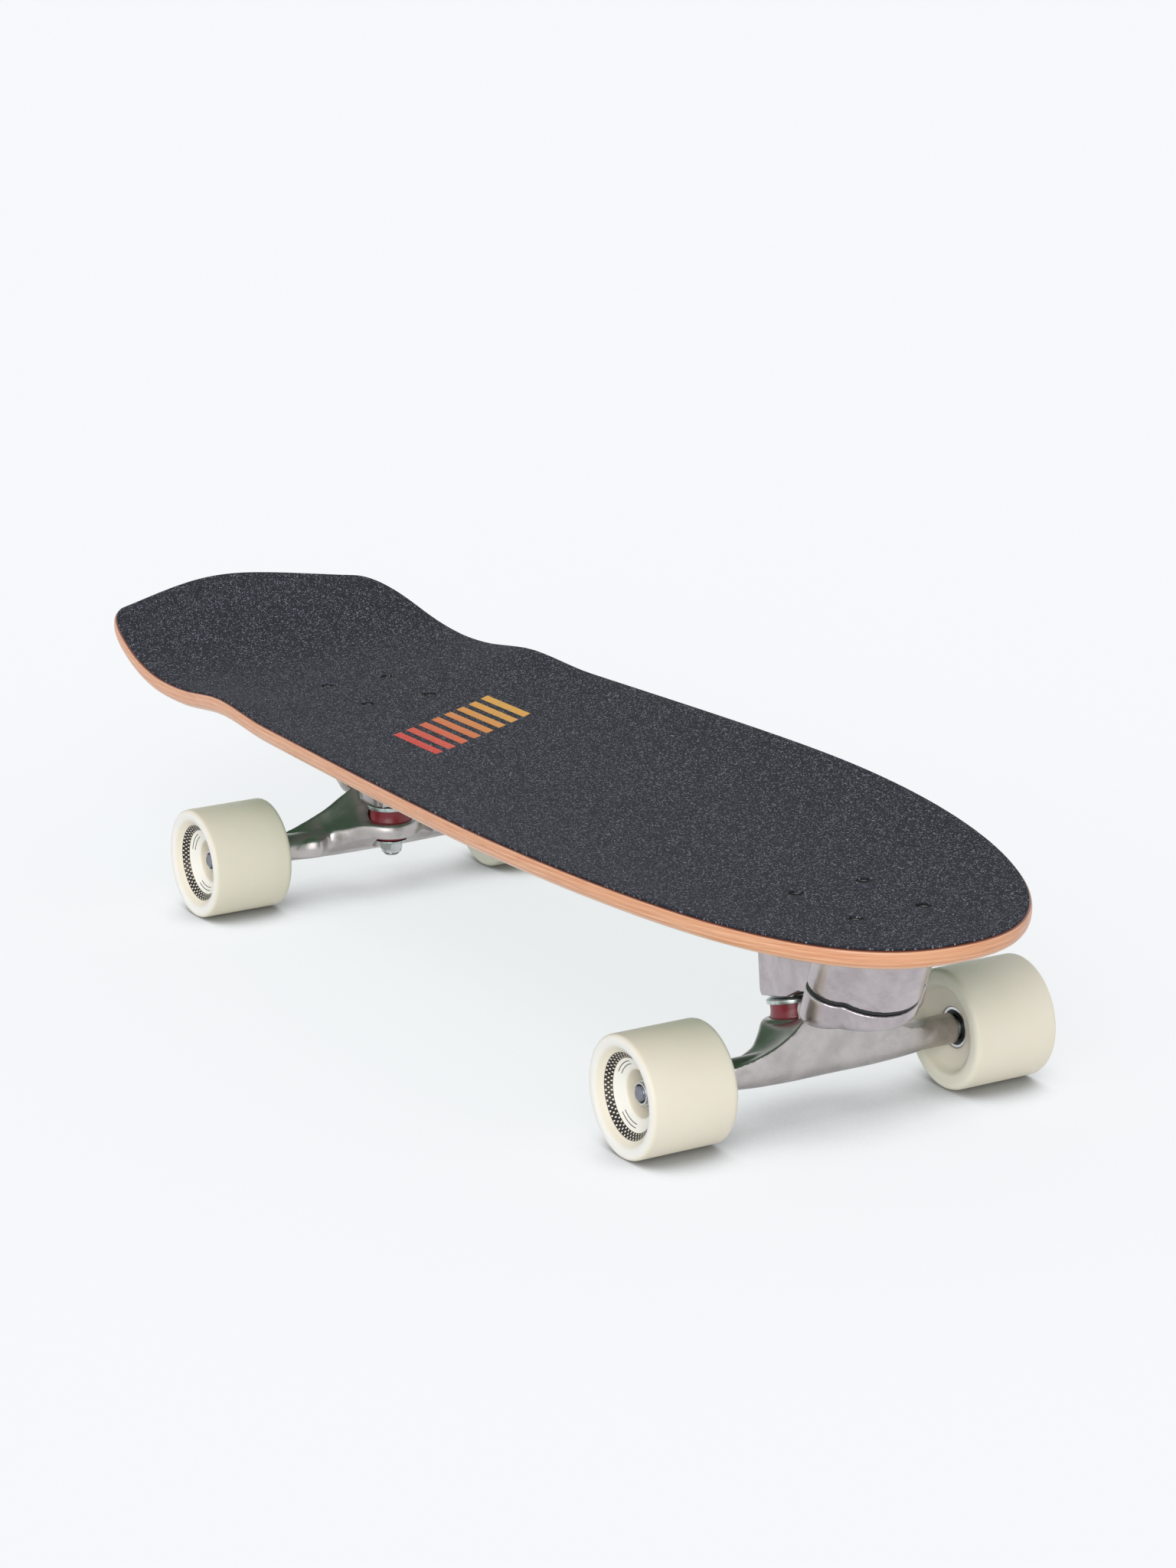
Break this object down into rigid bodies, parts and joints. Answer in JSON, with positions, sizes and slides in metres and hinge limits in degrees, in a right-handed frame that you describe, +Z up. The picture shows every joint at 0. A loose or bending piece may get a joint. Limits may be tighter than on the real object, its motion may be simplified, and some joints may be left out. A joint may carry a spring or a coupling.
{
  "type": "skateboard",
  "caption": "Surf skateboard with a wide kick-tail deck, grip tape, a spring-return swinging front truck, a plain rear truck and soft wide wheels.",
  "frame": {"origin": "on the floor, midway along the deck and on its centre line", "axes": "+X towards the nose, +Y to the rider's left, +Z up"},
  "size_m": [0.8327, 0.248, 0.1566],
  "materials": {
    "maple_ply": "clear-sealed pressed ply, stained on the lowest face",
    "grip_grit": "coarse grit paper, charcoal",
    "cast_aluminium": "tumbled and polished casting",
    "zinc_steel": "zinc-plated",
    "black_steel": "black oxide",
    "red_urethane": "translucent satin",
    "cream_urethane": "translucent satin, faint yellow-green",
    "bearing_steel": "polished",
    "black_polymer": "moulded acetal"
  },
  "bodies": {
    "board": {"deck": "maple_ply", "grip_tape": "grip_grit", "front_deck_bolt_1": "black_steel", "front_deck_bolt_2": "black_steel", "front_deck_bolt_3": "black_steel", "front_deck_bolt_4": "black_steel", "rear_deck_bolt_1": "black_steel", "rear_deck_bolt_2": "black_steel", "rear_deck_bolt_3": "black_steel", "rear_deck_bolt_4": "black_steel", "rear_baseplate": "cast_aluminium", "rear_pivot_cup": "black_polymer", "rear_kingpin": "zinc_steel", "rear_kingpin_nut": "zinc_steel", "rear_upper_bushing": "red_urethane", "rear_lower_bushing": "red_urethane", "rear_upper_washer": "zinc_steel", "rear_lower_washer": "zinc_steel", "front_base": "cast_aluminium", "thrust_ring": "black_polymer", "swing_bushing": "black_polymer"},
    "swing_arm": {"front_arm": "cast_aluminium", "swing_bolt": "zinc_steel", "return_spring": "zinc_steel", "front_pivot_cup": "black_polymer", "front_kingpin": "zinc_steel", "front_kingpin_nut": "zinc_steel", "front_upper_bushing": "red_urethane", "front_lower_bushing": "red_urethane", "front_upper_washer": "zinc_steel", "front_lower_washer": "zinc_steel"},
    "front_hanger_body": {"front_hanger": "cast_aluminium", "front_axle": "zinc_steel", "front_left_axle_nut": "zinc_steel", "front_right_axle_nut": "zinc_steel", "front_left_inboard_bearing_inner_ring": "bearing_steel", "front_left_outboard_bearing_inner_ring": "bearing_steel", "front_right_inboard_bearing_inner_ring": "bearing_steel", "front_right_outboard_bearing_inner_ring": "bearing_steel"},
    "front_left_wheel_body": {"front_left_wheel": "cream_urethane", "front_left_inboard_bearing_outer_ring": "bearing_steel", "front_left_outboard_bearing_outer_ring": "bearing_steel"},
    "front_right_wheel_body": {"front_right_wheel": "cream_urethane", "front_right_inboard_bearing_outer_ring": "bearing_steel", "front_right_outboard_bearing_outer_ring": "bearing_steel"},
    "rear_hanger_body": {"rear_hanger": "cast_aluminium", "rear_axle": "zinc_steel", "rear_left_axle_nut": "zinc_steel", "rear_right_axle_nut": "zinc_steel", "rear_left_inboard_bearing_inner_ring": "bearing_steel", "rear_left_outboard_bearing_inner_ring": "bearing_steel", "rear_right_inboard_bearing_inner_ring": "bearing_steel", "rear_right_outboard_bearing_inner_ring": "bearing_steel"},
    "rear_left_wheel_body": {"rear_left_wheel": "cream_urethane", "rear_left_inboard_bearing_outer_ring": "bearing_steel", "rear_left_outboard_bearing_outer_ring": "bearing_steel"},
    "rear_right_wheel_body": {"rear_right_wheel": "cream_urethane", "rear_right_inboard_bearing_outer_ring": "bearing_steel", "rear_right_outboard_bearing_outer_ring": "bearing_steel"}
  },
  "joints": [
    {"name": "arm_swing", "type": "hinge", "parent": "board", "child": "swing_arm", "pos_m": [0.333, 0, 0.082], "axis": [0.342, 0, 0.9397], "range_deg": [-30, 30], "stiffness_Nm_per_rad": 14, "deforming": ["return_spring"]},
    {"name": "front_lean", "type": "hinge", "parent": "swing_arm", "child": "front_hanger_body", "pos_m": [0.2637, 0, 0.04197], "axis": [0.866, 0, 0.5], "range_deg": [-10, 10], "stiffness_Nm_per_rad": 70, "deforming": ["front_upper_bushing", "front_lower_bushing"]},
    {"name": "rear_lean", "type": "hinge", "parent": "board", "child": "rear_hanger_body", "pos_m": [-0.1873, 0, 0.04197], "axis": [-0.866, 0, 0.5], "range_deg": [-10, 10], "stiffness_Nm_per_rad": 70, "deforming": ["rear_upper_bushing", "rear_lower_bushing"]},
    {"name": "front_left_wheel_spin", "type": "hinge", "parent": "front_hanger_body", "child": "front_left_wheel_body", "pos_m": [0.2917, 0, 0.03272], "axis": [0, 1, 0], "continuous": true},
    {"name": "front_right_wheel_spin", "type": "hinge", "parent": "front_hanger_body", "child": "front_right_wheel_body", "pos_m": [0.2917, 0, 0.03272], "axis": [0, 1, 0], "continuous": true},
    {"name": "rear_left_wheel_spin", "type": "hinge", "parent": "rear_hanger_body", "child": "rear_left_wheel_body", "pos_m": [-0.2073, 0, 0.03272], "axis": [0, 1, 0], "continuous": true},
    {"name": "rear_right_wheel_spin", "type": "hinge", "parent": "rear_hanger_body", "child": "rear_right_wheel_body", "pos_m": [-0.2073, 0, 0.03272], "axis": [0, 1, 0], "continuous": true}
  ]
}
